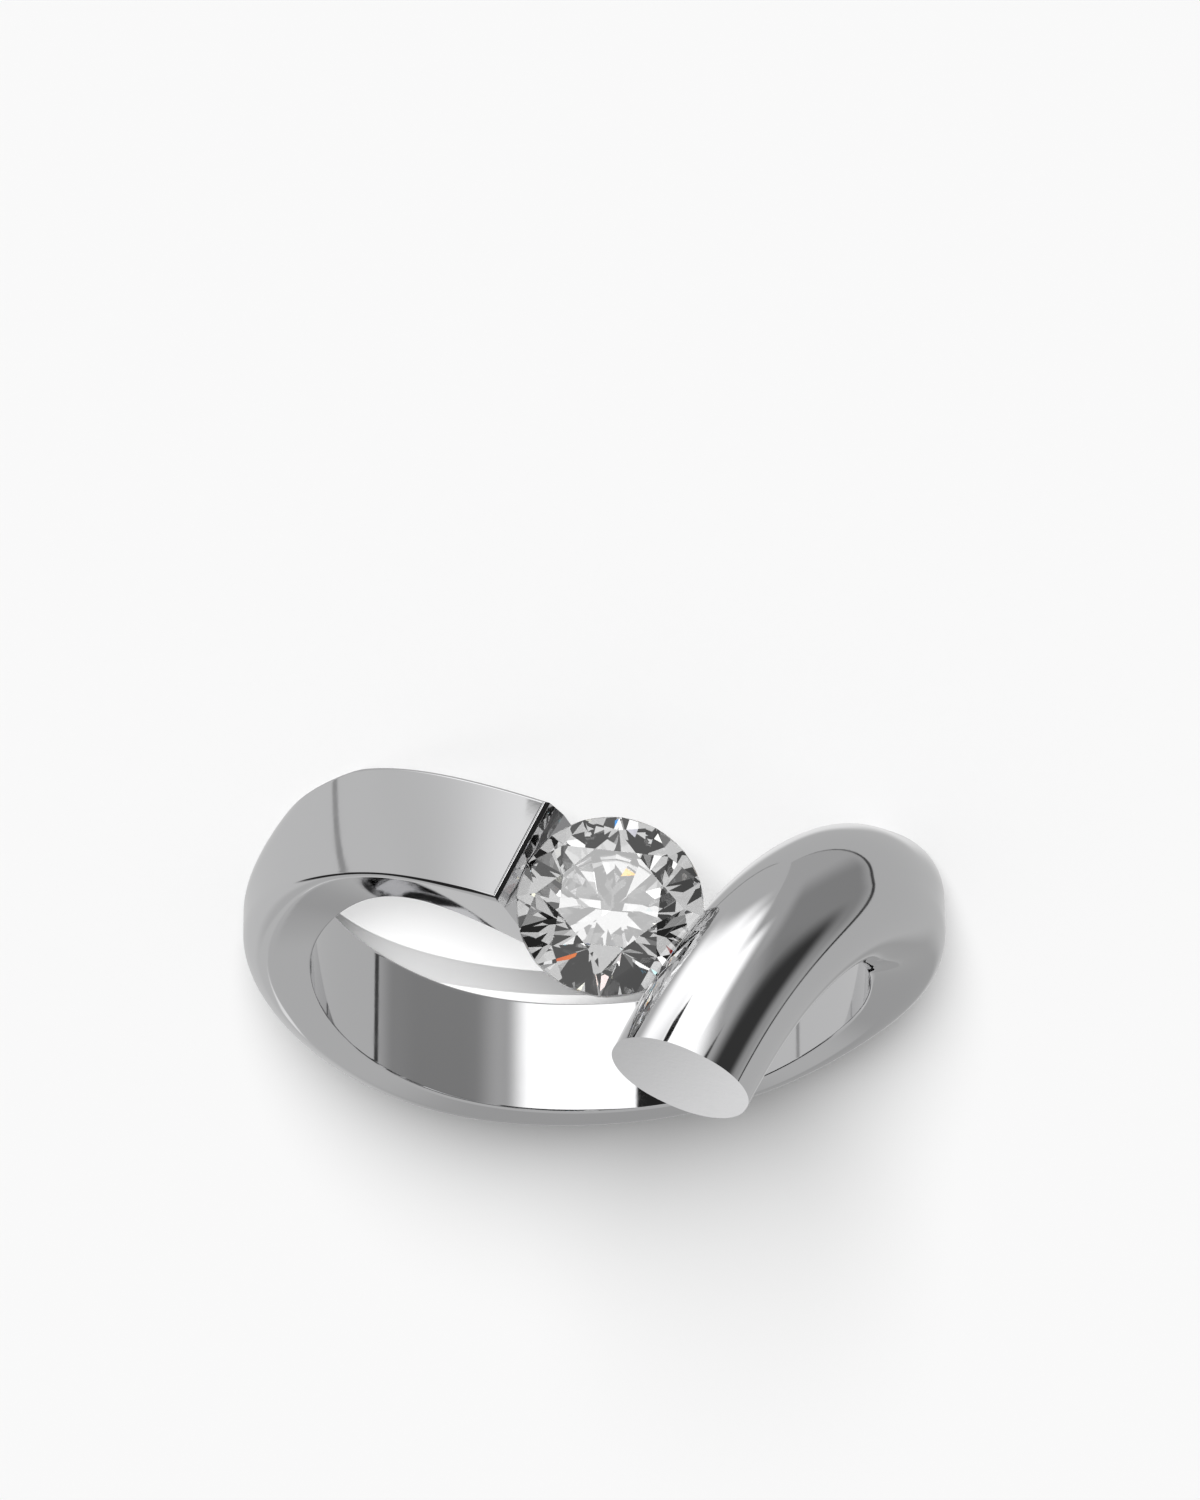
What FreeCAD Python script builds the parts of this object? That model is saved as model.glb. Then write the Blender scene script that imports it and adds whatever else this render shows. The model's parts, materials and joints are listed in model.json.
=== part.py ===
import FreeCAD, Part
import math
import os

# Tension set ring: one polished band with two free ends, and a round brilliant cut
# diamond that the spring of the band holds between them. The left end is a flat bar
# cut square, the right end a round bar that curls up and passes the stone.
#
# The ring is drawn round its finger axis, which is Z, with the side that the round bar
# ends on up and the stone towards -Y. Then it is lifted onto the floor at Z = 0, because
# a ring lies on its side. Seen from the stone with that side down, the flat bar is left.

# Finger hole: 18.1 mm inside, which is US size 8
FINGER_RADIUS = 9.05
FINGER_CUT_LENGTH = 40.0

# Diamond: 0.75 carat round brilliant, sizes as shares of its diameter
STONE_DIAMETER = 5.82
TABLE_SHARE = 0.57
CROWN_SHARE = 0.150
STAR_SHARE = 0.52
PAVILION_SHARE = 0.415
LOWER_HALF_SHARE = 0.78
GIRDLE_HALF = 0.09
FACETS = 8
ARC_STEPS = 4

# Stone's place: centre of its girdle, lean of its axis towards +Z, turn about that axis
STONE_CENTRE = (-0.63, -11.57, 3.16)
STONE_LEAN = 5.5
STONE_TURN = 16.0

# Seats cut in both ends by the stone's own profile, with this much room round it
SEAT_GAP = 0.03

# Flat bar's end: distances from the stone's axis, and levels above and below its girdle
SETTING_TURN = 30.5
END_EDGE_OUT = 3.35
END_EDGE_LEVEL = 0.75
END_FACE_OUT = 2.80
END_FACE_LEVEL = 0.05
END_FOOT_OUT = 1.81
END_FOOT_LEVEL = -2.7
END_CUT_PAST = 1.6
END_CUT_RISE = 3.0
END_CUT_WIDTH = 6.4

# Round bar's end: centre of its flat face and the way that face looks
TIP_CENTRE = (-2.70, -11.50, 8.75)
TIP_TURN = 22.0
TIP_RISE = 4.0
TIP_CUT_SIZE = 8.0

# Side that the ring lies on: both shoulders are ground flat at this depth below the
# middle of the finger hole, square to the finger axis
REST_DEPTH = 2.78
REST_CUT_SIZE = 60.0

# Sections of the band, in order from the flat bar's end round the shank to the round
# bar's end. around: degrees about the finger axis from the middle of the shank towards
# the flat bar. height: along the finger axis. inner, outer: radii from that axis.
# upper, lower: rounding of the outer corners. under: rounding of the inner corners.
SECTION_COLUMNS = ("around", "height", "inner", "outer", "half_width", "upper", "lower", "under")
SECTIONS = (
    (180.0, 2.48, 8.75, 12.68, 1.80, 0.12, 0.12, 0.12),
    (170.0, 1.50, 8.75, 12.32, 1.80, 0.12, 0.12, 0.12),
    (160.0, 0.55, 8.75, 11.90, 1.80, 0.12, 0.12, 0.12),
    (148.0, -0.44, 8.75, 11.47, 1.80, 0.12, 0.12, 0.12),
    (132.0, -1.20, 8.75, 11.25, 1.80, 0.25, 0.30, 0.12),
    (112.0, -1.32, 8.75, 11.24, 1.82, 0.80, 1.60, 0.12),
    (90.0, -1.05, 8.75, 11.24, 1.83, 1.10, 1.75, 0.12),
    (60.0, -0.42, 8.75, 11.15, 1.98, 1.15, 1.25, 0.12),
    (30.0, 0.20, 8.75, 11.12, 1.98, 0.95, 1.00, 0.12),
    (0.0, 0.27, 8.75, 11.05, 1.95, 0.98, 1.00, 0.12),
    (-30.0, -0.05, 8.75, 10.85, 1.98, 1.10, 1.00, 0.12),
    (-60.0, -0.75, 8.75, 10.98, 2.10, 1.15, 1.20, 0.12),
    (-85.0, -0.88, 8.75, 11.33, 2.18, 1.30, 1.60, 0.30),
    (-105.0, -0.55, 8.80, 11.72, 2.20, 1.50, 1.85, 0.80),
    (-122.0, 0.35, 9.00, 12.50, 2.18, 1.80, 2.00, 1.35),
    (-138.0, 1.58, 9.25, 13.60, 2.22, 2.05, 2.08, 1.95),
    (-151.5, 3.90, 9.55, 14.03, 2.24, 2.12, 2.12, 2.12),
    (-160.0, 6.35, 9.55, 14.03, 2.24, 2.12, 2.12, 2.12),
    (-168.5, 9.70, 9.55, 14.03, 2.24, 2.12, 2.12, 2.12),
)

FINGER_AXIS = FreeCAD.Vector(0, 0, 1)
ORIGIN = FreeCAD.Vector(0, 0, 0)


def named_rows():
    """The section table as one dictionary for each row."""
    return [dict(zip(SECTION_COLUMNS, row)) for row in SECTIONS]


def radial(around):
    """Unit vector away from the finger axis."""
    angle = math.radians(around)
    return FreeCAD.Vector(math.sin(angle), math.cos(angle), 0)


def section_centre(row):
    """Middle of a section."""
    middle = (row["inner"] + row["outer"]) / 2
    return radial(row["around"]) * middle + FINGER_AXIS * row["height"]


def section_wire(row, centre, along):
    """Rounded rectangle square to the band's line: four lines and four arcs."""
    outward = radial(row["around"])
    outward = (outward - along * outward.dot(along)).normalize()
    across = along.cross(outward)
    if across.z < 0:
        across = across * -1
    half_width = row["half_width"]
    half_depth = (row["outer"] - row["inner"]) / 2

    def at(wide, deep):
        return centre + across * wide + outward * deep

    corners = (
        (1, 1, row["upper"]),
        (-1, 1, row["lower"]),
        (-1, -1, row["under"]),
        (1, -1, row["under"]),
    )
    arcs = []
    for wide_sign, deep_sign, rounding in corners:
        wide = wide_sign * (half_width - rounding)
        deep = deep_sign * (half_depth - rounding)
        diagonal = rounding * math.sqrt(0.5)
        on_side = at(wide_sign * half_width, deep)
        on_face = at(wide, deep_sign * half_depth)
        middle = at(wide + wide_sign * diagonal, deep + deep_sign * diagonal)
        if wide_sign == deep_sign:
            arcs.append((on_side, middle, on_face))
        else:
            arcs.append((on_face, middle, on_side))
    edges = []
    for number, arc in enumerate(arcs):
        edges.append(Part.Arc(*arc).toShape())
        following = arcs[(number + 1) % len(arcs)]
        edges.append(Part.LineSegment(arc[2], following[0]).toShape())
    return Part.Wire(edges)


def band_blank():
    """The band before its hole, ends and seats are cut: one loft through the sections."""
    rows = named_rows()
    centres = [section_centre(row) for row in rows]
    line = Part.BSplineCurve()
    line.interpolate(Points=centres)
    wires = []
    for row, centre in zip(rows, centres):
        along = line.tangent(line.parameter(centre))[0]
        wires.append(section_wire(row, centre, along))
    return Part.makeLoft(wires, True, False)


def stone_placement():
    """Puts the stone's own frame, with its table up +Z, where the band holds it."""
    facing = FreeCAD.Rotation(FreeCAD.Vector(1, 0, 0), 90 - STONE_LEAN)
    turn = FreeCAD.Rotation(FINGER_AXIS, 180 + STONE_TURN)
    return FreeCAD.Placement(FreeCAD.Vector(*STONE_CENTRE), facing.multiply(turn))


def stone_levels():
    """Radii and levels of a brilliant cut's corners, from its proportions."""
    radius = STONE_DIAMETER / 2
    half = math.pi / FACETS
    table = TABLE_SHARE * radius
    crown = GIRDLE_HALF + CROWN_SHARE * STONE_DIAMETER
    pavilion = GIRDLE_HALF + PAVILION_SHARE * STONE_DIAMETER
    star = table + (radius - table) * STAR_SHARE
    crown_slope = (crown - GIRDLE_HALF) / (radius - table)
    star_level = GIRDLE_HALF + crown_slope * (radius - star * math.cos(half))
    lower = radius * (1 - LOWER_HALF_SHARE)
    pavilion_slope = (pavilion - GIRDLE_HALF) / radius
    lower_level = GIRDLE_HALF + pavilion_slope * (radius - lower * math.cos(half))
    return radius, table, crown, star, star_level, lower, -lower_level, -pavilion


def girdle_row(radius, tip_radius, tip_level, edge_level, first, last, tip_turn):
    """Points where one half facet meets the round girdle, from corner to corner."""
    points = []
    middle = (first + last) / 2
    chord = radius * math.cos((last - first) / 2)
    reach = tip_radius * math.cos(tip_turn - middle)
    slope = (tip_level - edge_level) / (chord - reach)
    for step in range(ARC_STEPS + 1):
        turn = first + (last - first) * step / ARC_STEPS
        past = radius * math.cos(turn - middle) - chord
        level = edge_level - slope * past
        points.append(FreeCAD.Vector(radius * math.cos(turn), radius * math.sin(turn), level))
    return points


def polar(radius, turn, level):
    """Point at a radius, turn in radians and level in the stone's own frame."""
    return FreeCAD.Vector(radius * math.cos(turn), radius * math.sin(turn), level)


def facet(points):
    """Flat face through points in order."""
    return Part.Face(Part.makePolygon(list(points) + [points[0]]))


def diamond():
    """Round brilliant: table, 8 stars, 8 kites, 16 upper halves, girdle, 16 lower
    halves and 8 pavilion mains that meet at the culet."""
    radius, table, crown, star, star_level, lower, lower_level, culet = stone_levels()
    whole = 2 * math.pi / FACETS
    half = whole / 2
    culet_point = FreeCAD.Vector(0, 0, culet)
    faces = [facet([polar(table, k * whole, crown) for k in range(FACETS)])]
    for k in range(FACETS):
        turn = k * whole
        table_here = polar(table, turn, crown)
        table_next = polar(table, turn + whole, crown)
        star_before = polar(star, turn - half, star_level)
        star_after = polar(star, turn + half, star_level)
        lower_before = polar(lower, turn - half, lower_level)
        lower_after = polar(lower, turn + half, lower_level)
        crown_corner = polar(radius, turn, GIRDLE_HALF)
        pavilion_corner = polar(radius, turn, -GIRDLE_HALF)
        faces.append(facet([table_here, star_after, table_next]))
        faces.append(facet([table_here, star_before, crown_corner, star_after]))
        faces.append(facet([culet_point, lower_before, pavilion_corner, lower_after]))
        for first, last, tip in ((turn, turn + half, turn + half), (turn - half, turn, turn - half)):
            above = girdle_row(radius, star, star_level, GIRDLE_HALF, first, last, tip)
            below = girdle_row(radius, lower, lower_level, -GIRDLE_HALF, first, last, tip)
            faces.append(facet([polar(star, tip, star_level)] + above))
            faces.append(facet([polar(lower, tip, lower_level)] + below))
            for step in range(ARC_STEPS):
                faces.append(facet([above[step], above[step + 1], below[step + 1], below[step]]))
    solid = Part.Solid(Part.makeShell(faces))
    if solid.Volume < 0:
        solid.reverse()
    solid.Placement = stone_placement()
    return solid


def seat_cutter():
    """The stone's profile turned round its axis, larger by the seat's gap."""
    radius, table, crown, star, star_level, lower, lower_level, culet = stone_levels()
    profile = (
        (0, culet - SEAT_GAP * 2),
        (lower + SEAT_GAP, lower_level - SEAT_GAP),
        (radius + SEAT_GAP, -GIRDLE_HALF - SEAT_GAP),
        (radius + SEAT_GAP, GIRDLE_HALF + SEAT_GAP),
        (star + SEAT_GAP, star_level + SEAT_GAP),
        (table + SEAT_GAP, crown + SEAT_GAP),
        (0, crown + SEAT_GAP),
    )
    points = [FreeCAD.Vector(out, 0, level) for out, level in profile]
    cutter = facet(points).revolve(ORIGIN, FINGER_AXIS, 360)
    cutter.Placement = stone_placement()
    return cutter


def flat_end_cutter():
    """Prism that cuts the flat bar square, with a narrow bevel over a face that leans
    in under the stone."""
    turn = math.radians(SETTING_TURN)
    towards = FreeCAD.Vector(-math.cos(turn), 0, math.sin(turn))
    up = FreeCAD.Vector(0, -1, 0)
    along = FreeCAD.Vector(-math.sin(turn), 0, -math.cos(turn))
    start = FreeCAD.Vector(*STONE_CENTRE) - along * (END_CUT_WIDTH / 2)
    outline = (
        (-END_EDGE_OUT, END_EDGE_LEVEL),
        (-END_FACE_OUT, END_FACE_LEVEL),
        (-END_FOOT_OUT, END_FOOT_LEVEL),
        (END_CUT_PAST, END_FOOT_LEVEL),
        (END_CUT_PAST, END_CUT_RISE),
        (-END_EDGE_OUT, END_CUT_RISE),
    )
    points = [start + towards * out + up * level for out, level in outline]
    return facet(points).extrude(along * END_CUT_WIDTH)


def tip_cutter():
    """Block past the round bar's flat end."""
    turn = math.radians(TIP_TURN)
    rise = math.radians(TIP_RISE)
    level = math.cos(rise)
    facing = FreeCAD.Vector(math.sin(turn) * level, -math.sin(rise), math.cos(turn) * level)
    block = Part.makeBox(TIP_CUT_SIZE, TIP_CUT_SIZE, TIP_CUT_SIZE)
    block.translate(FreeCAD.Vector(-TIP_CUT_SIZE / 2, -TIP_CUT_SIZE / 2, 0))
    turned = FreeCAD.Rotation(FINGER_AXIS, facing)
    block.Placement = FreeCAD.Placement(FreeCAD.Vector(*TIP_CENTRE), turned).multiply(block.Placement)
    return block


def side_cutter():
    """Block below the flat that both shoulders lie on."""
    corner = FreeCAD.Vector(-REST_CUT_SIZE / 2, -REST_CUT_SIZE / 2, -REST_DEPTH - REST_CUT_SIZE)
    return Part.makeBox(REST_CUT_SIZE, REST_CUT_SIZE, REST_CUT_SIZE, corner)


def ring_band():
    """The whole metal piece: blank, finger hole, both ends and the stone's two seats."""
    hole = Part.makeCylinder(
        FINGER_RADIUS, FINGER_CUT_LENGTH, FINGER_AXIS * (-FINGER_CUT_LENGTH / 2), FINGER_AXIS
    )
    band = band_blank()
    for cutter in (hole, side_cutter(), flat_end_cutter(), tip_cutter(), seat_cutter()):
        band = band.cut(cutter)
    if len(band.Solids) != 1:
        raise RuntimeError("the band came out as %d solids" % len(band.Solids))
    return band.Solids[0]


def main():
    os.makedirs("parts", exist_ok=True)
    shapes = {"ring_band": ring_band(), "diamond": diamond()}
    for name, shape in shapes.items():
        shape.translate(FINGER_AXIS * REST_DEPTH)
        print(name, shape.isValid(), round(shape.Volume, 2), shape.BoundBox)
        shape.exportStep("parts/%s.step" % name)


main()
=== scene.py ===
"""Tension set ring: a polished platinum band that grips a round brilliant between its two ends.

The script is laid out as an add-on with one panel, and is run as a script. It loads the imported
model as the frame, dresses it, and builds a small white studio round it. The ring lies on its
side on the floor, with the finger axis upright and the stone towards -Y.
"""

import json
import math

import bpy
import bmesh
import numpy as np
from mathutils import Matrix, Vector
from mathutils.bvhtree import BVHTree
from mathutils.interpolate import poly_3d_calc


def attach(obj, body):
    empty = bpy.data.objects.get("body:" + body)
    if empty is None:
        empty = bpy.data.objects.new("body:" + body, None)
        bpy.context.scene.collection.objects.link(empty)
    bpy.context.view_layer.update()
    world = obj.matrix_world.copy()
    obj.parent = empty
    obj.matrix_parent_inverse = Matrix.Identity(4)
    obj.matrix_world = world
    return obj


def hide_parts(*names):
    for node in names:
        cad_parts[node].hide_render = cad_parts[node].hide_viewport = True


bl_info = {
    "name": "Tension Set Ring",
    "version": (1, 0, 0),
    "blender": (4, 5, 0),
    "location": "3D View > Sidebar > Ring",
    "description": "Polished platinum ring that grips a round brilliant, in a white studio",
    "category": "Object",
}

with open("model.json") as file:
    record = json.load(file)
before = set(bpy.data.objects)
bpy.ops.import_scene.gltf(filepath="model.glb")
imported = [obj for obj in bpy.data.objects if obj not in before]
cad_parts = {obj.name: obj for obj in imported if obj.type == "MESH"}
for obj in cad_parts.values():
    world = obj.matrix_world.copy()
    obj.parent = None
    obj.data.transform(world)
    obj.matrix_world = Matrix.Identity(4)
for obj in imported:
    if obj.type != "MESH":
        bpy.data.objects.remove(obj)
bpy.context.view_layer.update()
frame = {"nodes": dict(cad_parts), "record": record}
MM = 0.001
BODY = "root"


def mount(name):
    """One of the record's mounts by its name."""
    return next(m for m in frame["record"]["mounts"] if m["name"] == name)


# Sizes of the band in millimetres. Heights are measured along the finger axis from a plane that
# lies REST_DEPTH over the floor. A row is a section of the bar, from the flat end round the shank
# to the round end. around: degrees about the finger axis, from the middle of the shank towards the
# flat bar. height: of the section's middle. inner, outer: radii from the finger axis. upper,
# lower: rounding of the outer corners. under: rounding of the inner corners.
REST_DEPTH = 2.78
SECTION_COLUMNS = ("around", "height", "inner", "outer", "half_width", "upper", "lower", "under")
SECTIONS = (
    (180.0, 2.48, 8.75, 12.68, 1.80, 0.20, 0.12, 0.12),
    (170.0, 1.50, 8.75, 12.32, 1.80, 0.20, 0.12, 0.12),
    (160.0, 0.55, 8.75, 11.90, 1.80, 0.18, 0.12, 0.12),
    (148.0, -0.44, 8.75, 11.47, 1.80, 0.16, 0.12, 0.12),
    (132.0, -1.20, 8.75, 11.25, 1.80, 0.25, 0.30, 0.12),
    (112.0, -1.32, 8.75, 11.24, 1.82, 0.80, 1.60, 0.12),
    (90.0, -1.05, 8.75, 11.24, 1.83, 1.10, 1.75, 0.12),
    (60.0, -0.42, 8.75, 11.15, 1.98, 1.15, 1.25, 0.12),
    (30.0, 0.20, 8.75, 11.12, 1.98, 0.95, 1.00, 0.12),
    (0.0, 0.27, 8.75, 11.05, 1.95, 0.98, 1.00, 0.12),
    (-30.0, -0.05, 8.75, 10.85, 1.98, 1.10, 1.00, 0.12),
    (-60.0, -0.75, 8.75, 10.98, 2.10, 1.15, 1.20, 0.12),
    (-85.0, -0.88, 8.75, 11.33, 2.18, 1.30, 1.60, 0.30),
    (-105.0, -0.55, 8.80, 11.72, 2.20, 1.50, 1.85, 0.80),
    (-122.0, 0.35, 9.00, 12.50, 2.18, 1.80, 2.00, 1.35),
    (-138.0, 1.58, 9.25, 13.60, 2.22, 2.05, 2.08, 1.95),
    (-151.5, 3.90, 9.55, 14.03, 2.24, 2.12, 2.12, 2.12),
    (-160.0, 6.35, 9.55, 14.03, 2.24, 2.12, 2.12, 2.12),
    (-168.5, 9.70, 9.55, 14.03, 2.24, 2.12, 2.12, 2.12),
)

# How finely the bar is drawn: rows of points along it, points on each of a row's four sides, and how
# much those crowd towards the corners. The surface is searched for out to FARTHEST_OUT, halving the
# range BISECTIONS times, and PROBE is the step that its direction is read over.
STATIONS = 300
SIDE_POINTS = 36
CORNER_CROWDING = 0.88
FARTHEST_OUT = 6.0
BISECTIONS = 40
PROBE = 1e-5

# The stone's place and proportions, which the seats follow. The table, the crown and the pavilion
# are shares of its diameter. The stars take their share of the way from the table to the girdle, and
# the lower halves theirs of the way from the girdle to the culet. STONE_LEAN is in degrees.
STONE_DIAMETER = 5.82
TABLE_SHARE = 0.57
CROWN_SHARE = 0.150
STAR_SHARE = 0.52
PAVILION_SHARE = 0.415
LOWER_HALF_SHARE = 0.78
GIRDLE_HALF = 0.09
FACETS = 8
STONE_CENTRE = Vector((-0.63, -11.57, 3.16 + REST_DEPTH))
STONE_LEAN = 5.5
SEAT_GAP = 0.03
SEAT_STEPS = 128

# The flat end's bevel and the face under it, as distances from the stone's axis and levels from its
# girdle, the block that cuts them, and the rounding over the bevel. SETTING_TURN is the turn, in
# degrees, of the line from end to end through the stone.
SETTING_TURN = 30.5
END_EDGE_OUT, END_EDGE_LEVEL = 3.35, 0.75
END_FACE_OUT, END_FACE_LEVEL = 2.80, 0.05
END_FOOT_OUT, END_FOOT_LEVEL = 1.81, -2.7
END_CUT_PAST, END_CUT_RISE, END_CUT_WIDTH = 1.6, 3.0, 6.4
EDGE_ROUND, EDGE_STEPS, EDGE_OUTSIDE = 0.22, 8, 1.0

# The round end's flat face: its middle, and the degrees that it is turned from facing up
TIP_CENTRE = Vector((-2.70, -11.50, 8.75 + REST_DEPTH))
TIP_TURN = 22.0
TIP_RISE = 4.0
TIP_CUT_SIZE = 8.0

# How near a place has to lie to one of the cut surfaces, in millimetres or as a share of the
# rounding, and how well its face has to agree with that surface, to be shaded as part of it
FLAT_NEAR, FLAT_AGREES = 0.002, 0.999
SEAT_NEAR, SEAT_AGREES = 0.006, 0.96
PROFILE_START, PROFILE_END = -0.01, 1.01
ON_AXIS = 1e-6
EDGE_NEAR, EDGE_OVERLAP, EDGE_AGREES = 0.03, 0.02, 0.9

# The camera stands in front of the stone and above the floor, and is rolled half a turn, so
# that the picture has the ring the way up that it is worn. Its focal length is in pixels of the
# picture, and the rest in millimetres and degrees.
CAMERA_PLACE = (-0.320, -260.274, 106.217)
CAMERA_RISE = 23.0
CAMERA_NEAREST = 10.0
PICTURE_HEIGHT = 1500
FOCAL_PIXELS = 8637.4
SENSOR = 36.0

# The metal's finish. The sizes are real ones in millimetres. The wheel's marks are finer than this
# on a real ring, and are drawn as coarse as it takes for them to show. The haze takes the polish
# from its least to its most share of the roughness between two levels of its pattern.
HAZE_SIZE, HAZE_DETAIL = 0.8, 4.0
HAZE_LEVELS = (0.3, 0.7)
HAZE_SHARES = (0.7, 1.4)
WHEEL_MARK_SIZE, WHEEL_MARK_DETAIL = 0.15, 2.0
WHEEL_MARK_DEPTH, WHEEL_MARK_STRENGTH = 0.0004, 0.5

# The stone's finish: its index of refraction, and the frosting of its girdle, which fades out from
# this share of the girdle's half height to its rims
DIAMOND_INDEX = 2.417
GIRDLE_ROUGHNESS, GIRDLE_FROSTED = 0.3, 0.8


# What the polished metal sees: grey air with soft panels in it, bright ones and black cards, each
# over the ones before it and named for what mirrors it or for its place. A panel's middle is given
# by its compass direction, in degrees from straight behind the ring towards the left in the
# picture, and by its height over the horizon. half: degrees at full level on each side of the
# middle. soft: degrees that it fades in past those.
HALF_TURN = 180.0
AIR_LEVEL = 0.50
PANEL_COLUMNS = ("turn", "turn_half", "turn_soft", "rise", "rise_half", "rise_soft", "level")
PANELS = {
    "left_air": (48, 44, 30, -10, 20, 14, 0.60),
    "back_glow": (2, 6, 16, -38, 6, 12, 0.85),
    "back_strip": (-8, 10, 10, 8, 14, 10, 0.38),
    "tip_glow": (23, 3, 6, 24, 6, 14, 0.56),
    "key_wing": (150, 6, 48, -28, 10, 12, 0.92),
    "low_key": (142, 24, 32, -55, 3, 12, 1.35),
    "upper_key": (156, 40, 12, -5, 4, 6, 1.0),
    "right_air": (241, 40, 0.7, -50, 60, 10, 0.42),
    "dark_flag": (250, 20, 12, -24, 14, 22, 0.26),
    "black_flag": (246, 10, 14, 0, 9, 15, 0.04),
    "key": (176, 14, 14, -40, 10, 10, 1.45),
    "right_key": (192, 12, 12, -26, 9, 8, 1.45),
    "outline_strip": (281, 0.8, 1.0, -40, 40, 10, 0.05),
    "shoulder_line": (83, 0.5, 1.0, -10, 18, 3, 0.32),
    "arch_line": (40, 0.6, 1.2, -60, 14, 6, 0.28),
    "arris_flag": (91, 22, 5, 12, 14, 5, 0.02),
    "bore_key": (168, 8, 6, -22, 6, 5, 1.45),
    "edge_card": (151, 9, 1.5, -21, 7, 2, 0.02),
    "edge_flag": (190, 26, 3, -6, 12.5, 1.2, 0.02),
    "bevel_flag": (236, 26, 4, 10, 5, 3, 0.02),
    "round_card": (159, 4, 1, -43.5, 2, 0.6, 0.02),
    "tip_fade": (16.6, 0.9, 1.3, 23, 3, 2, 0.88),
    "table_card": (180, 2.2, 1, -12, 2.2, 1, 2.6),
}

# What is seen through the stone, laid out in the same way: a dark band over the horizon, dark
# flags under it, and small lamps. FIRE_TURNS moves them apart for red, green and blue.
STONE_AIR_LEVEL = 0.72
STONE_PANELS = {
    "dark_room": (0, 180, 1, 18, 16, 4, 0.02),
    "left_flag": (75, 10, 2, -18, 8, 2, 0.10),
    "right_flag": (255, 10, 2, -28, 9, 2, 0.08),
    "front_flag": (206, 8, 2, -30, 8, 2, 0.12),
    "left_lamp": (66, 9, 2, 4, 10, 2, 1.4),
    "right_lamp": (304, 8, 2, 5, 10, 2, 1.4),
    "front_lamp": (206, 6, 2, 3, 12, 2, 1.4),
    "back_lamp": (20, 8, 2, 6, 10, 2, 1.4),
    "high_right_lamp": (256, 7, 2, 14, 8, 2, 1.4),
    "high_left_lamp": (106, 7, 2, 9, 8, 2, 1.4),
    "low_left_lamp": (110, 14, 3, -24, 8, 3, 1.6),
    "low_right_lamp": (230, 9, 3, -22, 9, 3, 1.6),
}
FIRE_TURNS = (-0.8, 0.0, 0.8)

# The even light of the room, the far softbox behind the camera and the spot over the finger hole.
# Directions are as for the panels, and the spot's place and its radius on the floor in millimetres.
ROOM_LEVEL = 0.30
KEY_TURN, KEY_RISE, KEY_SPREAD, KEY_STRENGTH = 178.0, 15.0, 14.0, 9.1
SPOT_PLACE = (3.4, 5.6, 300.0)
SPOT_RADIUS, SPOT_SOFTNESS, SPOT_POWER = 7.8, 0.3, 1.8
FLOOR_ROUGHNESS = 0.9


def hex_colour(text):
    """A linear colour from an sRGB hex value."""
    parts = [int(text[i:i + 2], 16) / 255 for i in (1, 3, 5)]
    return [c / 12.92 if c <= 0.04045 else ((c + 0.055) / 1.055) ** 2.4 for c in parts]


class RingBandSizes(bpy.types.PropertyGroup):
    """Sizes of the band that a user would change"""
    bore_radius: bpy.props.FloatProperty(
        name="Finger hole radius", description="Radius of the finger hole", subtype="DISTANCE",
        unit="LENGTH", default=mount("finger_bore")["dims"]["r_mm"] * MM, min=0.005, max=0.02)
    edge_round: bpy.props.FloatProperty(
        name="Edge rounding", description="Rounding that polishing leaves on the hole's edges",
        subtype="DISTANCE", unit="LENGTH", default=0.08 * MM, min=0.0, max=0.001)


class RingFinish(bpy.types.PropertyGroup):
    """Colours and polish of the metal and the stone"""
    metal: bpy.props.FloatVectorProperty(
        name="Platinum", description="Colour that the polished metal reflects", subtype="COLOR",
        size=3, default=hex_colour("#E2E2E3"), min=0.0, max=1.0)
    roughness: bpy.props.FloatProperty(
        name="Polish", description="Roughness of the mirror polish", default=0.05, min=0.0, max=1.0)
    stone: bpy.props.FloatVectorProperty(
        name="Diamond", description="Body colour of the stone", subtype="COLOR",
        size=3, default=hex_colour("#FFFFFF"), min=0.0, max=1.0)


class StudioSizes(bpy.types.PropertyGroup):
    """Size and colour of the floor"""
    floor: bpy.props.FloatVectorProperty(
        name="Floor", description="Colour of the floor", subtype="COLOR",
        size=3, default=hex_colour("#F4F4F4"), min=0.0, max=1.0)
    floor_size: bpy.props.FloatProperty(
        name="Floor size", description="Side of the square floor", subtype="DISTANCE",
        unit="LENGTH", default=4.0, min=0.5)


def radial(around):
    """Unit vectors away from the finger axis, for degrees from the middle of the shank."""
    turn = np.radians(around)
    return np.stack([np.sin(turn), np.cos(turn), np.zeros_like(turn)], -1)


def unit(vectors):
    """Vectors of length one."""
    return vectors / np.linalg.norm(vectors, axis=-1, keepdims=True)


def spline(knots, values):
    """The smooth curve through rows of values, as a function of the place along it."""
    count = len(knots)
    gaps = np.diff(knots)
    matrix = np.eye(count)
    right = np.zeros_like(values)
    for i in range(1, count - 1):
        matrix[i, i - 1:i + 2] = gaps[i - 1], 2 * (gaps[i - 1] + gaps[i]), gaps[i]
        right[i] = 6 * ((values[i + 1] - values[i]) / gaps[i] - (values[i] - values[i - 1]) / gaps[i - 1])
    bends = np.linalg.solve(matrix, right)

    def at(places):
        i = np.clip(np.searchsorted(knots, places) - 1, 0, count - 2)
        gap = gaps[i][:, None]
        before = (knots[i + 1] - places)[:, None] / gap
        after = 1 - before
        bent = (before ** 3 - before) * bends[i] + (after ** 3 - after) * bends[i + 1]
        return before * values[i] + after * values[i + 1] + bent * gap ** 2 / 6

    return at


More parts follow.
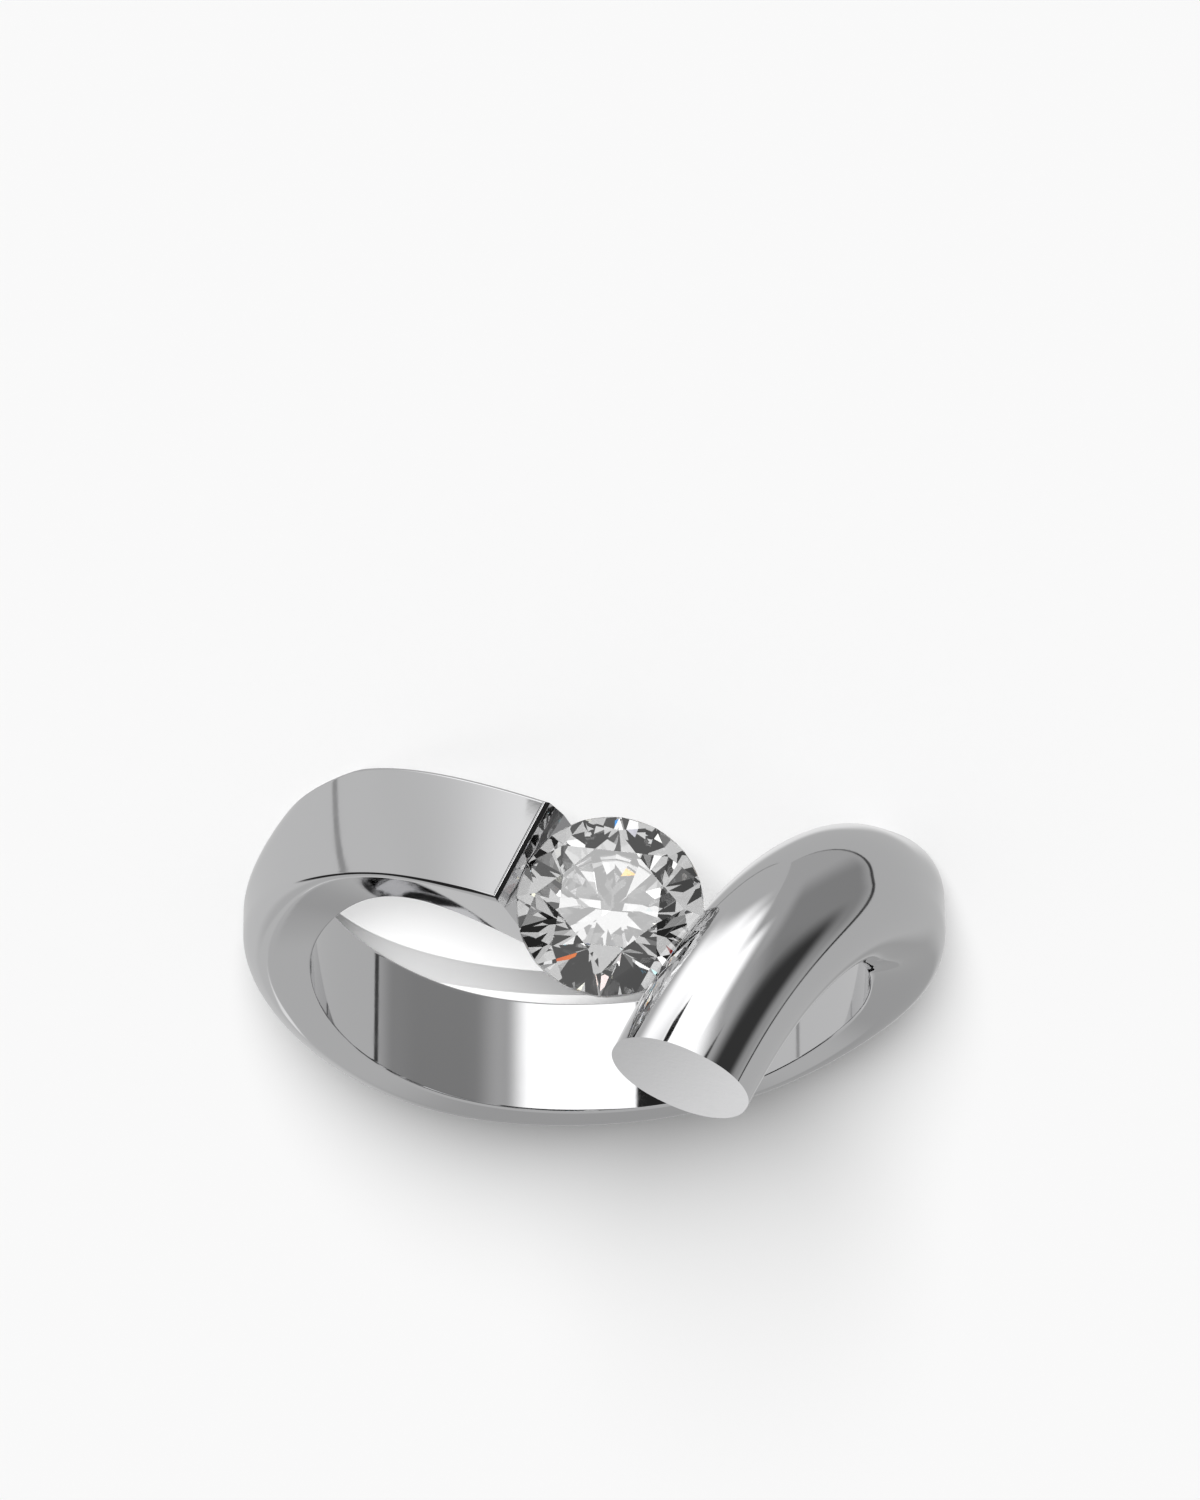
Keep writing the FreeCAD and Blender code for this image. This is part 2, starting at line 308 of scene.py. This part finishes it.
def meet(first, second, rounding):
    """Where two solids meet, from the distances to each, with the edge between them rounded."""
    near_first = np.maximum(first + rounding, 0)
    near_second = np.maximum(second + rounding, 0)
    return np.minimum(-rounding, np.maximum(first, second)) + np.hypot(near_first, near_second)


def rounded_section(wide, deep, row):
    """Distance to a rectangle whose corners have the row's three roundings."""
    outer = np.where(wide > 0, row["upper"], row["lower"])
    rounding = np.where(deep > 0, outer, row["under"])
    past_wide = np.abs(wide) - row["half_width"] + rounding
    past_deep = np.abs(deep) - (row["outer"] - row["inner"]) / 2 + rounding
    outside = np.hypot(np.maximum(past_wide, 0), np.maximum(past_deep, 0))
    return np.minimum(np.maximum(past_wide, past_deep), 0) + outside - rounding


def band_grid(sizes):
    """Points and surface directions of the uncut bar, a closed row of points for each station.
    The finger hole and the flats that the ring lies on are part of each row."""
    bore, rounding = sizes.bore_radius / MM, sizes.edge_round / MM

    # The line through the sections' middles, and the directions along, out of and across it
    table = np.array(SECTIONS)
    middles = radial(table[:, 0]) * ((table[:, 2] + table[:, 3]) / 2)[:, None]
    middles[:, 2] = table[:, 1]
    knots = np.concatenate([[0], np.cumsum(np.linalg.norm(np.diff(middles, axis=0), axis=1))])
    places = np.linspace(0, knots[-1], STATIONS)
    columns = spline(knots, table)(places).T[:, :, None]
    row = dict(zip(SECTION_COLUMNS, columns))
    middle = (row["inner"] + row["outer"]) / 2
    away = radial(row["around"][:, 0])
    centre = away * middle
    centre[:, 2] = row["height"][:, 0] + REST_DEPTH
    along = unit(np.gradient(centre, places, axis=0))
    outward = unit(away - along * (along * away).sum(-1, keepdims=True))
    across = np.cross(along, outward)
    across *= np.sign(across[:, 2:])

    def point(wide, deep):
        """Places in the ring, from distances across and out of the line."""
        return (centre[:, None] + across[:, None] * wide[..., None]
                + outward[:, None] * deep[..., None])

    def distance(wide, deep):
        """Distances to the surface of the bar, with the hole and the floor cut off it."""
        place = point(wide, deep)
        hole = bore - np.hypot(place[..., 0], place[..., 1])
        body = meet(rounded_section(wide, deep, row), hole, rounding)
        return meet(body, -place[..., 2], rounding)

    # The middle of what the hole and the floor leave of each section, and the turns from it that
    # crowd towards the four corners, where the surface bends most
    half_depth = (row["outer"] - row["inner"]) / 2
    low_deep = np.maximum(-half_depth, bore - middle)
    floor_wide = -centre[:, 2:] / across[:, 2:]
    low_wide = np.maximum(-row["half_width"], floor_wide)
    mid_wide = (low_wide + row["half_width"]) / 2
    mid_deep = (low_deep + half_depth) / 2
    reach_wide = row["half_width"] - mid_wide
    reach_deep = half_depth - mid_deep
    corner = np.arctan2(reach_deep, reach_wide)
    steps = np.arange(SIDE_POINTS) / SIDE_POINTS
    eased = steps - CORNER_CROWDING * np.sin(2 * np.pi * steps) / (2 * np.pi)
    corners = [-corner, corner, np.pi - corner, np.pi + corner, 2 * np.pi - corner]
    turns = np.concatenate([a + (b - a) * eased for a, b in zip(corners, corners[1:])], axis=1)

    # The surface in each of these directions
    step_wide, step_deep = np.cos(turns), np.sin(turns)
    inside = np.zeros_like(turns)
    outside = np.full_like(turns, FARTHEST_OUT)
    for _ in range(BISECTIONS):
        reach = (inside + outside) / 2
        solid = distance(mid_wide + step_wide * reach, mid_deep + step_deep * reach) < 0
        inside = np.where(solid, reach, inside)
        outside = np.where(solid, outside, reach)
    wide = mid_wide + step_wide * inside
    deep = mid_deep + step_deep * inside

    # The surface's direction: from the distances round the section, from the points along the bar
    rise_wide = distance(wide + PROBE, deep) - distance(wide - PROBE, deep)
    rise_deep = distance(wide, deep + PROBE) - distance(wide, deep - PROBE)
    points = point(wide, deep)
    in_section = unit(across[:, None] * rise_wide[..., None] + outward[:, None] * rise_deep[..., None])
    round_it = across[:, None] * -rise_deep[..., None] + outward[:, None] * rise_wide[..., None]
    facing = unit(np.cross(round_it, np.gradient(points, axis=0)))
    facing *= np.sign((facing * in_section).sum(-1, keepdims=True))
    return points, facing


def mesh_object(name, points, faces):
    """A new mesh object in the scene, with its faces turned outwards."""
    mesh = bpy.data.meshes.new(name)
    mesh.from_pydata([tuple(p) for p in points], [], faces)
    shape = bmesh.new()
    shape.from_mesh(mesh)
    bmesh.ops.recalc_face_normals(shape, faces=shape.faces)
    shape.to_mesh(mesh)
    shape.free()
    thing = bpy.data.objects.new(name, mesh)
    bpy.context.scene.collection.objects.link(thing)
    return thing


def tube_faces(stations, per_station):
    """Faces of a closed tube of points, with a cap at each end."""
    faces = []
    for i in range(stations - 1):
        for j in range(per_station):
            k = (j + 1) % per_station
            a, b = i * per_station, (i + 1) * per_station
            faces.append((a + j, a + k, b + k, b + j))
    last = (stations - 1) * per_station
    faces.append(tuple(range(per_station))[::-1])
    faces.append(tuple(range(last, last + per_station)))
    return faces


def stone_levels():
    """Radii and levels of the stone's corners, from its proportions."""
    radius = STONE_DIAMETER / 2
    half = math.pi / FACETS
    table = TABLE_SHARE * radius
    crown = GIRDLE_HALF + CROWN_SHARE * STONE_DIAMETER
    pavilion = GIRDLE_HALF + PAVILION_SHARE * STONE_DIAMETER
    star = table + (radius - table) * STAR_SHARE
    star_level = GIRDLE_HALF + (crown - GIRDLE_HALF) / (radius - table) * (radius - star * math.cos(half))
    lower = radius * (1 - LOWER_HALF_SHARE)
    lower_level = GIRDLE_HALF + (pavilion - GIRDLE_HALF) / radius * (radius - lower * math.cos(half))
    return radius, table, crown, star, star_level, lower, -lower_level, -pavilion


def seat_profile():
    """Radii and levels of the seat's turned profile, from under the culet to over the table."""
    radius, table, crown, star, star_level, lower, lower_level, culet = stone_levels()
    return (
        (0.0, culet - SEAT_GAP * 2),
        (lower + SEAT_GAP, lower_level - SEAT_GAP),
        (radius + SEAT_GAP, -GIRDLE_HALF - SEAT_GAP),
        (radius + SEAT_GAP, GIRDLE_HALF + SEAT_GAP),
        (star + SEAT_GAP, star_level + SEAT_GAP),
        (table + SEAT_GAP, crown + SEAT_GAP),
        (0.0, crown + SEAT_GAP),
    )


def stone_frame():
    """From the stone's own frame, with its table up, to its place in the ring."""
    return Matrix.Translation(STONE_CENTRE) @ Matrix.Rotation(math.radians(90 - STONE_LEAN), 4, "X")


def seat_cutter():
    """The stone's profile turned round its axis."""
    rims = seat_profile()
    points = [Vector((0, 0, rims[0][1])), Vector((0, 0, rims[-1][1]))]
    rings = rims[1:-1]
    for out, level in rings:
        for step in range(SEAT_STEPS):
            turn = 2 * math.pi * step / SEAT_STEPS
            points.append(Vector((out * math.cos(turn), out * math.sin(turn), level)))
    faces = []
    last = 2 + (len(rings) - 1) * SEAT_STEPS
    for step in range(SEAT_STEPS):
        following = (step + 1) % SEAT_STEPS
        faces.append((0, 2 + following, 2 + step))
        faces.append((1, last + step, last + following))
        for ring in range(len(rings) - 1):
            low = 2 + ring * SEAT_STEPS
            high = low + SEAT_STEPS
            faces.append((low + step, low + following, high + following, high + step))
    return mesh_object("seat_cutter", [stone_frame() @ p for p in points], faces)


def prism(name, near, far):
    """A straight block between two outlines with as many corners."""
    count = len(near)
    faces = [tuple(range(count)), tuple(range(count, 2 * count))]
    for i in range(count):
        k = (i + 1) % count
        faces.append((i, k, count + k, count + i))
    return mesh_object(name, near + far, faces)


def flat_end_frame():
    """Directions at the flat end: towards the stone, up its axis, and along the cut."""
    turn = math.radians(SETTING_TURN)
    towards = Vector((-math.cos(turn), 0, math.sin(turn)))
    along = Vector((-math.sin(turn), 0, -math.cos(turn)))
    return towards, Vector((0, -1, 0)), along


def flat_end_cutter():
    """Prism that cuts the flat bar square, with a narrow bevel over a face that leans in."""
    towards, up, along = flat_end_frame()
    outline = (
        (-END_EDGE_OUT, END_EDGE_LEVEL), (-END_FACE_OUT, END_FACE_LEVEL),
        (-END_FOOT_OUT, END_FOOT_LEVEL), (END_CUT_PAST, END_FOOT_LEVEL),
        (END_CUT_PAST, END_CUT_RISE), (-END_EDGE_OUT, END_CUT_RISE),
    )
    sides = []
    for side in (-0.5, 0.5):
        start = STONE_CENTRE + along * (END_CUT_WIDTH * side)
        sides.append([start + towards * out + up * level for out, level in outline])
    return prism("flat_end_cutter", *sides)


def upper_edge(points, facing):
    """The rounded edge between the flat bar's outer side and the bevel: the rounding's centre, the
    way that the edge runs, and the directions of the side and of the bevel."""
    towards, up, _ = flat_end_frame()
    corner = STONE_CENTRE - towards * END_EDGE_OUT + up * END_EDGE_LEVEL
    nearest = np.argmin(np.linalg.norm(points - np.array(corner), axis=1))
    side_place, side = Vector(points[nearest]), Vector(facing[nearest])
    bevel_place, bevel = end_planes()[1]
    edge = side.cross(bevel).normalized()
    down = side.cross(edge)
    corner = side_place - down * ((side_place - bevel_place).dot(bevel) / down.dot(bevel))
    centre = corner - (side + bevel) * (EDGE_ROUND / (1 + side.dot(bevel)))
    return centre, edge, side, bevel


def upper_edge_cutter(rounding):
    """Prism that takes the corner off outside the rounding."""
    centre, edge, side, bevel = rounding
    ways = [side.slerp(bevel, step / EDGE_STEPS) for step in range(EDGE_STEPS + 1)]
    outline = [centre + way * EDGE_ROUND for way in ways]
    outline.append(centre + (side + bevel) * EDGE_OUTSIDE)
    half = edge * (END_CUT_WIDTH / 2)
    return prism("upper_edge_cutter", [p - half for p in outline], [p + half for p in outline])


def upper_edge_facing(rounding, place):
    """Direction of the rounding at a place, or None where the place isn't on it."""
    centre, edge, side, bevel = rounding
    out = place - centre
    out -= edge * out.dot(edge)
    off = abs(out.length - EDGE_ROUND)
    if out.length == 0 or off > EDGE_NEAR * EDGE_ROUND or out.dot(side + bevel) <= 0:
        return None
    way = out.normalized()
    spread = side.dot(bevel) - EDGE_OVERLAP
    return way if min(way.dot(side), way.dot(bevel)) > spread else None


def tip_facing():
    """The way that the round end's face looks."""
    turn, rise = math.radians(TIP_TURN), math.radians(TIP_RISE)
    return Vector((math.sin(turn) * math.cos(rise), -math.sin(rise), math.cos(turn) * math.cos(rise)))


def tip_cutter():
    """Block past the round bar's flat end."""
    turned = tip_facing().to_track_quat("Z", "Y").to_matrix()
    half = TIP_CUT_SIZE / 2
    square = ((-half, -half), (half, -half), (half, half), (-half, half))
    sides = []
    for level in (0, TIP_CUT_SIZE):
        sides.append([TIP_CENTRE + turned @ Vector((x, y, level)) for x, y in square])
    return prism("tip_cutter", *sides)


def cut(thing, cutter):
    """Takes the cutter out of the mesh, exactly, and removes the cutter."""
    modifier = thing.modifiers.new("cut", "BOOLEAN")
    modifier.operation = "DIFFERENCE"
    modifier.solver = "EXACT"
    modifier.object = cutter
    shown = bpy.context.evaluated_depsgraph_get()
    shown.update()
    result = bpy.data.meshes.new_from_object(thing.evaluated_get(shown))
    thing.modifiers.clear()
    old = thing.data
    thing.data = result
    bpy.data.meshes.remove(old)
    bpy.data.objects.remove(cutter)


def end_planes():
    """A point and the outward direction of each flat face cut on the two ends."""
    towards, up, along = flat_end_frame()
    outline = (
        (END_EDGE_OUT, END_EDGE_LEVEL),
        (END_FACE_OUT, END_FACE_LEVEL),
        (END_FOOT_OUT, END_FOOT_LEVEL),
    )
    corners = [STONE_CENTRE - towards * out + up * level for out, level in outline]
    planes = [(TIP_CENTRE, tip_facing())]
    for start, end in zip(corners, corners[1:]):
        facing = (end - start).cross(along).normalized()
        planes.append((start, facing if facing.dot(towards) > 0 else -facing))
    return planes


def seat_facing(place, facing):
    """Direction of the seat's surface at a place, or None where the surface isn't a seat."""
    to_stone = stone_frame().inverted()
    local = to_stone @ place
    turned = to_stone.to_3x3() @ facing
    out = math.hypot(local.x, local.y)
    if out < ON_AXIS:
        return None
    round_out = Vector((local.x, local.y, 0)) / out
    profile = seat_profile()
    for (r0, z0), (r1, z1) in zip(profile, profile[1:]):
        length = math.hypot(r1 - r0, z1 - z0)
        across = ((out - r0) * (z1 - z0) - (local.z - z0) * (r1 - r0)) / length
        share = ((out - r0) * (r1 - r0) + (local.z - z0) * (z1 - z0)) / length ** 2
        if abs(across) < SEAT_NEAR and PROFILE_START < share < PROFILE_END:
            side = round_out * ((z1 - z0) / length) - Vector((0, 0, (r1 - r0) / length))
            if abs(side.dot(turned)) > SEAT_AGREES:
                side = side if side.dot(turned) > 0 else -side
                return stone_frame().to_3x3() @ side
    return None


def bar_facing(tree, points, facing, faces, place):
    """Direction of the uncut bar's surface where it is nearest to a place."""
    nearest, _, face, _ = tree.find_nearest(place)
    corners = faces[face]
    shares = poly_3d_calc([Vector(points[c]) for c in corners], nearest)
    weighted = (Vector(facing[c]) * share for c, share in zip(corners, shares))
    return sum(weighted, Vector()).normalized()


def smooth_facings(mesh, points, facing, faces, rounding):
    """Gives each corner of the mesh the true direction of the surface that its face lies on, so
    that the polish reflects as one clean surface."""
    tree = BVHTree.FromPolygons([Vector(p) for p in points], faces)
    planes = end_planes()
    on_bar = {}
    facings = [None] * len(mesh.loops)
    for polygon in mesh.polygons:
        polygon.use_smooth = True
        centre, normal = polygon.center, polygon.normal
        matches = (way for place, way in planes
                   if abs((centre - place).dot(way)) < FLAT_NEAR and normal.dot(way) > FLAT_AGREES)
        flat = next(matches, None)
        near_stone = flat is None and (centre - STONE_CENTRE).length < STONE_DIAMETER
        seat = seat_facing(centre, normal) if near_stone else None
        edge = upper_edge_facing(rounding, centre) if near_stone and not seat else None
        if edge is not None and edge.dot(normal) < EDGE_AGREES:
            edge = None
        for loop in polygon.loop_indices:
            index = mesh.loops[loop].vertex_index
            place = mesh.vertices[index].co
            if flat is not None:
                facings[loop] = flat
            elif seat is not None:
                facings[loop] = seat_facing(place, normal) or seat
            elif edge is not None:
                facings[loop] = upper_edge_facing(rounding, place) or edge
            else:
                if index not in on_bar:
                    on_bar[index] = bar_facing(tree, points, facing, faces, place)
                facings[loop] = on_bar[index]
    mesh.normals_split_custom_set(facings)


def add(tree, kind, settings=(), links=()):
    """Adds a node: settings by property or input name, links by input name."""
    node = tree.nodes.new(kind)
    for name, value in dict(settings).items():
        if hasattr(node, name):
            setattr(node, name, value)
        else:
            node.inputs[name].default_value = value
    for name, source in dict(links).items():
        tree.links.new(source, node.inputs[name])
    return node


def new_material(name):
    """An empty material and its node tree."""
    material = bpy.data.materials.new(name)
    material.use_nodes = True
    material.node_tree.nodes.clear()
    return material, material.node_tree


def polished_platinum(finish):
    """Platinum alloy, mirror polished on a felt wheel. It gives the eye clean reflections with a
    slight haze where the wheel pressed less, and a faint ripple that shows only in their edges."""
    material, tree = new_material("polished_platinum")
    place = add(tree, "ShaderNodeTexCoord")
    haze = add(tree, "ShaderNodeTexNoise", {
        "Scale": 1 / (HAZE_SIZE * MM), "Detail": HAZE_DETAIL},
        {"Vector": place.outputs["Object"]})
    least, most = (finish.roughness * share for share in HAZE_SHARES)
    rough = add(tree, "ShaderNodeMapRange", {
        "From Min": HAZE_LEVELS[0], "From Max": HAZE_LEVELS[1], "To Min": least, "To Max": most},
        {"Value": haze.outputs["Fac"]})
    marks = add(tree, "ShaderNodeTexNoise", {
        "Scale": 1 / (WHEEL_MARK_SIZE * MM), "Detail": WHEEL_MARK_DETAIL},
        {"Vector": place.outputs["Object"]})
    ripple = add(tree, "ShaderNodeBump", {
        "Strength": WHEEL_MARK_STRENGTH, "Distance": WHEEL_MARK_DEPTH * MM},
        {"Height": marks.outputs["Fac"]})
    shader = add(tree, "ShaderNodeBsdfPrincipled", {
        "Base Color": (*finish.metal, 1), "Metallic": 1.0},
        {"Roughness": rough.outputs["Result"], "Normal": ripple.outputs["Normal"]})
    add(tree, "ShaderNodeOutputMaterial", links={"Surface": shader.outputs["BSDF"]})
    return material


def cut_diamond(finish):
    """Diamond with lapped facets and a bruted girdle. It gives the eye hard-edged flashes between
    dark facets, and a thin frosted line round its widest part."""
    material, tree = new_material("diamond_facets")
    axis = stone_frame().to_3x3() @ Vector((0, 0, 1))
    place = add(tree, "ShaderNodeTexCoord")
    along = add(tree, "ShaderNodeVectorMath", {"operation": "DOT_PRODUCT"}, {0: place.outputs["Object"]})
    along.inputs[1].default_value = axis
    level = add(tree, "ShaderNodeMath", {"operation": "SUBTRACT"}, {0: along.outputs["Value"]})
    level.inputs[1].default_value = STONE_CENTRE.dot(axis) * MM
    away = add(tree, "ShaderNodeMath", {"operation": "ABSOLUTE"}, {0: level.outputs[0]})
    rim = GIRDLE_HALF * MM
    frost = add(tree, "ShaderNodeMapRange", {
        "From Min": rim * GIRDLE_FROSTED, "From Max": rim, "To Min": GIRDLE_ROUGHNESS, "To Max": 0.0},
        {"Value": away.outputs[0]})
    shader = add(tree, "ShaderNodeBsdfPrincipled", {
        "Base Color": (*finish.stone, 1), "Transmission Weight": 1.0, "IOR": DIAMOND_INDEX},
        {"Roughness": frost.outputs["Result"]})
    add(tree, "ShaderNodeOutputMaterial", links={"Surface": shader.outputs["BSDF"]})
    return material


def panel_share(tree, angle, middle, half, soft):
    """How far a direction is inside a panel along one angle, from 0 to 1."""
    away = add(tree, "ShaderNodeMath", {"operation": "SUBTRACT"}, {0: angle})
    away.inputs[1].default_value = middle
    turned = add(tree, "ShaderNodeMath", {"operation": "WRAP"}, {0: away.outputs[0]})
    turned.inputs[1].default_value = HALF_TURN
    turned.inputs[2].default_value = -HALF_TURN
    size = add(tree, "ShaderNodeMath", {"operation": "ABSOLUTE"}, {0: turned.outputs[0]})
    share = add(tree, "ShaderNodeMapRange", {
        "interpolation_type": "SMOOTHSTEP", "From Min": half + soft, "From Max": half,
        "To Min": 0.0, "To Max": 1.0}, {"Value": size.outputs[0]})
    return share.outputs["Result"]


def panel_level(tree, turn, rise, air, panels, shift=0.0):
    """Brightness of a direction among the panels, each laid over the ones before it."""
    even = add(tree, "ShaderNodeValue")
    even.outputs[0].default_value = air
    level = even.outputs[0]
    for name, values in panels.items():
        panel = dict(zip(PANEL_COLUMNS, values))
        across = panel_share(tree, turn, panel["turn"] + shift, panel["turn_half"], panel["turn_soft"])
        upright = panel_share(tree, rise, panel["rise"], panel["rise_half"], panel["rise_soft"])
        both = add(tree, "ShaderNodeMath", {"operation": "MULTIPLY"}, {0: across, 1: upright})
        mix = add(tree, "ShaderNodeMix", {"data_type": "FLOAT", "label": name},
                  {"Factor": both.outputs[0], "A": level})
        mix.inputs["B"].default_value = panel["level"]
        level = mix.outputs["Result"]
    return level


def studio_air():
    """World light: even for the floor and the camera, and with soft panels for what the metal
    reflects and for what the stone shows."""
    world = bpy.data.worlds.new("studio_air")
    world.use_nodes = True
    tree = world.node_tree
    tree.nodes.clear()
    place = add(tree, "ShaderNodeTexCoord")
    axes = add(tree, "ShaderNodeSeparateXYZ", links={0: place.outputs["Generated"]})
    compass = add(tree, "ShaderNodeMath", {"operation": "ARCTAN2"}, {
        0: axes.outputs["X"], 1: axes.outputs["Y"]})
    height = add(tree, "ShaderNodeMath", {"operation": "ARCSINE"}, {0: axes.outputs["Z"]})
    turn = add(tree, "ShaderNodeMath", {"operation": "DEGREES"}, {0: compass.outputs[0]}).outputs[0]
    rise = add(tree, "ShaderNodeMath", {"operation": "DEGREES"}, {0: height.outputs[0]}).outputs[0]
    mirrored = panel_level(tree, turn, rise, AIR_LEVEL, PANELS)
    fire = add(tree, "ShaderNodeCombineColor", links={
        channel: panel_level(tree, turn, rise, STONE_AIR_LEVEL, STONE_PANELS, shift)
        for channel, shift in zip(("Red", "Green", "Blue"), FIRE_TURNS)})
    seen = add(tree, "ShaderNodeLightPath")
    room = add(tree, "ShaderNodeBackground", {"Color": (1, 1, 1, 1), "Strength": ROOM_LEVEL})
    panels = add(tree, "ShaderNodeBackground", {"Color": (1, 1, 1, 1)}, {"Strength": mirrored})
    lamps = add(tree, "ShaderNodeBackground", {"Strength": 1.0}, {"Color": fire.outputs[0]})
    metal = add(tree, "ShaderNodeMixShader", links={
        "Fac": seen.outputs["Is Glossy Ray"], 1: room.outputs[0], 2: panels.outputs[0]})
    stone = add(tree, "ShaderNodeMixShader", links={
        "Fac": seen.outputs["Is Transmission Ray"], 1: metal.outputs[0], 2: lamps.outputs[0]})
    add(tree, "ShaderNodeOutputWorld", links={"Surface": stone.outputs[0]})
    return world


def matt_white_board(studio):
    """Matt painted board. It gives the eye one even tone with the soft shadow on it."""
    material, tree = new_material("matt_white_board")
    shader = add(tree, "ShaderNodeBsdfPrincipled", {
        "Base Color": (*studio.floor, 1), "Roughness": FLOOR_ROUGHNESS, "Specular IOR Level": 0.0})
    add(tree, "ShaderNodeOutputMaterial", links={"Surface": shader.outputs["BSDF"]})
    return material


class RING_OT_band(bpy.types.Operator):
    """Builds the polished band with its two ends and seats"""
    bl_idname = "ring.band"
    bl_label = "Ring band"

    def execute(self, context):
        scene = context.scene
        points, facing = band_grid(scene.ring_sizes)
        faces = tube_faces(points.shape[0], points.shape[1])
        points, facing = points.reshape(-1, 3), facing.reshape(-1, 3)
        band = mesh_object("polished_band", points, faces)
        rounding = upper_edge(points, facing)
        for cutter in (flat_end_cutter(), upper_edge_cutter(rounding), tip_cutter(), seat_cutter()):
            cut(band, cutter)
        smooth_facings(band.data, points, facing, faces, rounding)
        band.data.transform(Matrix.Scale(MM, 4))
        band.data.materials.clear()
        band.data.materials.append(polished_platinum(scene.ring_finish))
        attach(band, BODY)
        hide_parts("ring_band")
        return {"FINISHED"}


class RING_OT_stone(bpy.types.Operator):
    """Gives the stone its polished facets"""
    bl_idname = "ring.stone"
    bl_label = "Diamond"

    def execute(self, context):
        stone = frame["nodes"]["diamond"]
        material = cut_diamond(context.scene.ring_finish)
        for slot in stone.material_slots:
            slot.material = material
        return {"FINISHED"}


def place_light(light, place, look_at):
    """Puts a light in the scene. The metal and the stone see the panels, not the lights."""
    thing = bpy.data.objects.new(light.name, light)
    thing.location = place
    thing.rotation_euler = (Vector(look_at) - Vector(place)).to_track_quat("-Z", "Y").to_euler()
    thing.visible_glossy = False
    thing.visible_transmission = False
    bpy.context.scene.collection.objects.link(thing)


def softbox():
    """Large softbox far behind the camera and low, which draws the soft shadow behind the ring."""
    light = bpy.data.lights.new("softbox", "SUN")
    light.energy = KEY_STRENGTH
    light.angle = math.radians(KEY_SPREAD)
    turn, rise = math.radians(KEY_TURN), math.radians(KEY_RISE)
    reach = math.cos(rise)
    place_light(light, (math.sin(turn) * reach, math.cos(turn) * reach, math.sin(rise)), (0, 0, 0))


def hole_spot():
    """Narrow spot from straight above that keeps the floor in the finger hole white."""
    light = bpy.data.lights.new("hole_spot", "SPOT")
    place = Vector(SPOT_PLACE) * MM
    light.energy = SPOT_POWER
    light.spot_size = 2 * math.atan(SPOT_RADIUS * MM / place.z)
    light.spot_blend = SPOT_SOFTNESS
    light.shadow_soft_size = MM
    place_light(light, place, (place.x, place.y, 0))


def ring_camera():
    """Camera that looks down at the stone's side of the ring, with its top turned to the floor."""
    camera = bpy.data.cameras.new("camera")
    camera.sensor_width = SENSOR
    camera.lens = FOCAL_PIXELS * SENSOR / PICTURE_HEIGHT
    camera.clip_start = CAMERA_NEAREST * MM
    rise = math.radians(CAMERA_RISE)
    back = Vector((0, -math.cos(rise), math.sin(rise)))
    up = Vector((0, -math.sin(rise), -math.cos(rise)))
    turned = Matrix((up.cross(back), up, back)).transposed()
    thing = bpy.data.objects.new("camera", camera)
    thing.matrix_world = Matrix.Translation(Vector(CAMERA_PLACE) * MM) @ turned.to_4x4()
    bpy.context.scene.collection.objects.link(thing)
    return thing


class RING_OT_studio(bpy.types.Operator):
    """Builds the floor, the soft lights and the camera"""
    bl_idname = "ring.studio"
    bl_label = "Studio"

    def execute(self, context):
        scene = context.scene
        studio = scene.ring_studio
        half = studio.floor_size / 2
        corners = [(-half, -half, 0), (half, -half, 0), (half, half, 0), (-half, half, 0)]
        floor = mesh_object("floor", corners, [(0, 1, 2, 3)])
        floor.data.materials.append(matt_white_board(studio))
        floor.visible_glossy = False
        floor.visible_transmission = False
        softbox()
        hole_spot()
        scene.world = studio_air()
        scene.view_settings.view_transform = "Standard"
        scene.camera = ring_camera()
        return {"FINISHED"}


class RING_PT_panel(bpy.types.Panel):
    """Lists the ring's pieces and its studio"""
    bl_label = "Tension Set Ring"
    bl_space_type = "VIEW_3D"
    bl_region_type = "UI"
    bl_category = "Ring"

    def draw(self, context):
        for operator in OPERATORS:
            self.layout.operator(operator.bl_idname)


GROUPS = (("ring_sizes", RingBandSizes), ("ring_finish", RingFinish), ("ring_studio", StudioSizes))
OPERATORS = (RING_OT_band, RING_OT_stone, RING_OT_studio)


def register():
    """Adds the property groups, the operators and the panel."""
    for name, group in GROUPS:
        bpy.utils.register_class(group)
        setattr(bpy.types.Scene, name, bpy.props.PointerProperty(type=group))
    for one in OPERATORS + (RING_PT_panel,):
        bpy.utils.register_class(one)


def unregister():
    """Takes them away again, in the other order."""
    for one in (RING_PT_panel,) + OPERATORS[::-1]:
        bpy.utils.unregister_class(one)
    for name, group in reversed(GROUPS):
        delattr(bpy.types.Scene, name)
        bpy.utils.unregister_class(group)


def main():
    """Builds the ring and its studio."""
    register()
    bpy.ops.ring.band()
    bpy.ops.ring.stone()
    bpy.ops.ring.studio()


if __name__ == "__main__":
    main()
